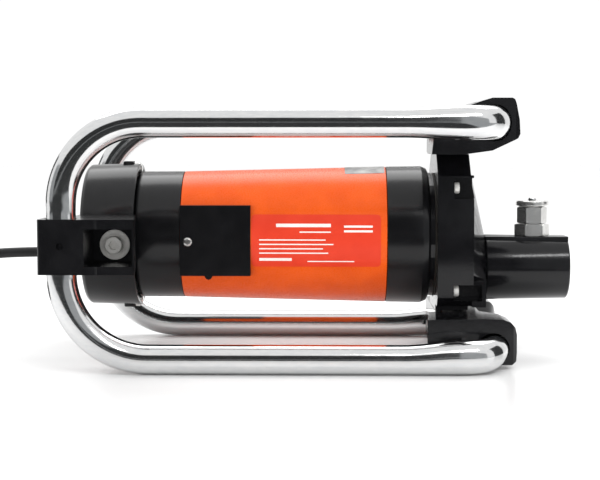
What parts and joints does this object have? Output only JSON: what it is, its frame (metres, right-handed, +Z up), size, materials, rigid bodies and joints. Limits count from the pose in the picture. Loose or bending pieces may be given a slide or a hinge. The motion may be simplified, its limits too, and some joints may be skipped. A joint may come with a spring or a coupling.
{
  "type": "concrete vibrator",
  "caption": "Drive unit for a concrete poker: an electric motor and reduction gear between chromed tube handles, with a nozzle and lock pin for the flexible shaft.",
  "frame": {"origin": "on the floor under the middle of the body's length and width, measured without the cable", "axes": "+X along the motor axis towards the nozzle, +Z up, -Y the right-hand side"},
  "size_m": [0.6588, 0.252, 0.2022],
  "materials": {
    "black_plastic": "fine moulded texture, satin",
    "black_paint": "satin black paint on cast aluminium",
    "orange_plastic": "satin orange moulding",
    "chrome": "polished chrome plate",
    "steel": "zinc plated steel",
    "copper": "enamelled copper wire",
    "lamination": "stacked electrical steel",
    "rubber": "matt black rubber",
    "red_plastic": "red rocker, glossy",
    "carbon": "pressed carbon",
    "brass": "bare brass and commutator copper",
    "gasket_paper": "oiled gasket paper"
  },
  "bodies": {
    "body": {"rear_cover": "black_plastic", "rear_end_shield": "black_plastic", "front_ring": "black_plastic", "brush_cover_right": "black_plastic", "brush_cover_left": "black_plastic", "clamp_block_right": "black_plastic", "clamp_block_left": "black_plastic", "switch_body": "black_plastic", "bearing_plate": "black_paint", "gear_housing": "black_paint", "shaft_nozzle": "black_paint", "crossbar_top": "black_paint", "crossbar_bottom": "black_paint", "motor_housing": "orange_plastic", "handle_tube_right": "chrome", "handle_tube_left": "chrome", "brush_cover_screw_right": "steel", "brush_cover_screw_left": "steel", "rear_bearing": "steel", "front_bearing": "steel", "spindle_rear_bearing": "steel", "spindle_front_bearing": "steel", "lock_nut": "steel", "lock_barrel": "steel", "lock_spring": "steel", "cover_screw_top": "steel", "cover_screw_bottom": "steel", "crossbar_bolt_top_right": "steel", "crossbar_bolt_top_left": "steel", "crossbar_bolt_bottom_right": "steel", "crossbar_bolt_bottom_left": "steel", "clamp_washer_right": "steel", "clamp_washer_left": "steel", "clamp_bolt_right": "steel", "clamp_bolt_left": "steel", "field_coil_bottom": "copper", "field_coil_top": "copper", "stator_core": "lamination", "strain_relief": "rubber", "cable": "rubber", "cable_coil": "rubber", "plug": "rubber", "carbon_brush_right": "carbon", "carbon_brush_left": "carbon", "brush_holder_right": "brass", "brush_holder_left": "brass", "gear_gasket": "gasket_paper"},
    "armature": {"armature_shaft": "steel", "armature_core": "lamination", "rear_winding": "copper", "front_winding": "copper", "commutator": "brass", "cooling_fan": "black_plastic", "drive_pinion": "steel"},
    "spindle": {"output_gear": "steel", "output_spindle": "steel", "drive_coupling": "steel"},
    "lock_plunger": {"lock_pin": "chrome", "lock_cap": "steel"},
    "rocker": {"switch_rocker": "red_plastic"}
  },
  "joints": [
    {"name": "armature_spin", "type": "hinge", "parent": "body", "child": "armature", "pos_m": [0, 0, 0.096], "axis": [1, 0, 0], "continuous": true},
    {"name": "spindle_spin", "type": "hinge", "parent": "body", "child": "spindle", "pos_m": [0, 0, 0.07], "axis": [1, 0, 0], "continuous": true},
    {"name": "lock_pull", "type": "slide", "parent": "body", "child": "lock_plunger", "axis": [0, 0, 1], "range_m": [0, 0.007], "stiffness_N_per_m": 900, "springref_m": -0.004, "deforming": ["lock_spring"]},
    {"name": "switch_rock", "type": "hinge", "parent": "body", "child": "rocker", "pos_m": [-0.1804, 0, 0.113], "axis": [0, 1, 0], "range_deg": [0, 22]}
  ],
  "couplings": [
    {"joint": "spindle_spin", "follows": "armature_spin", "ratio": -0.33333}
  ]
}
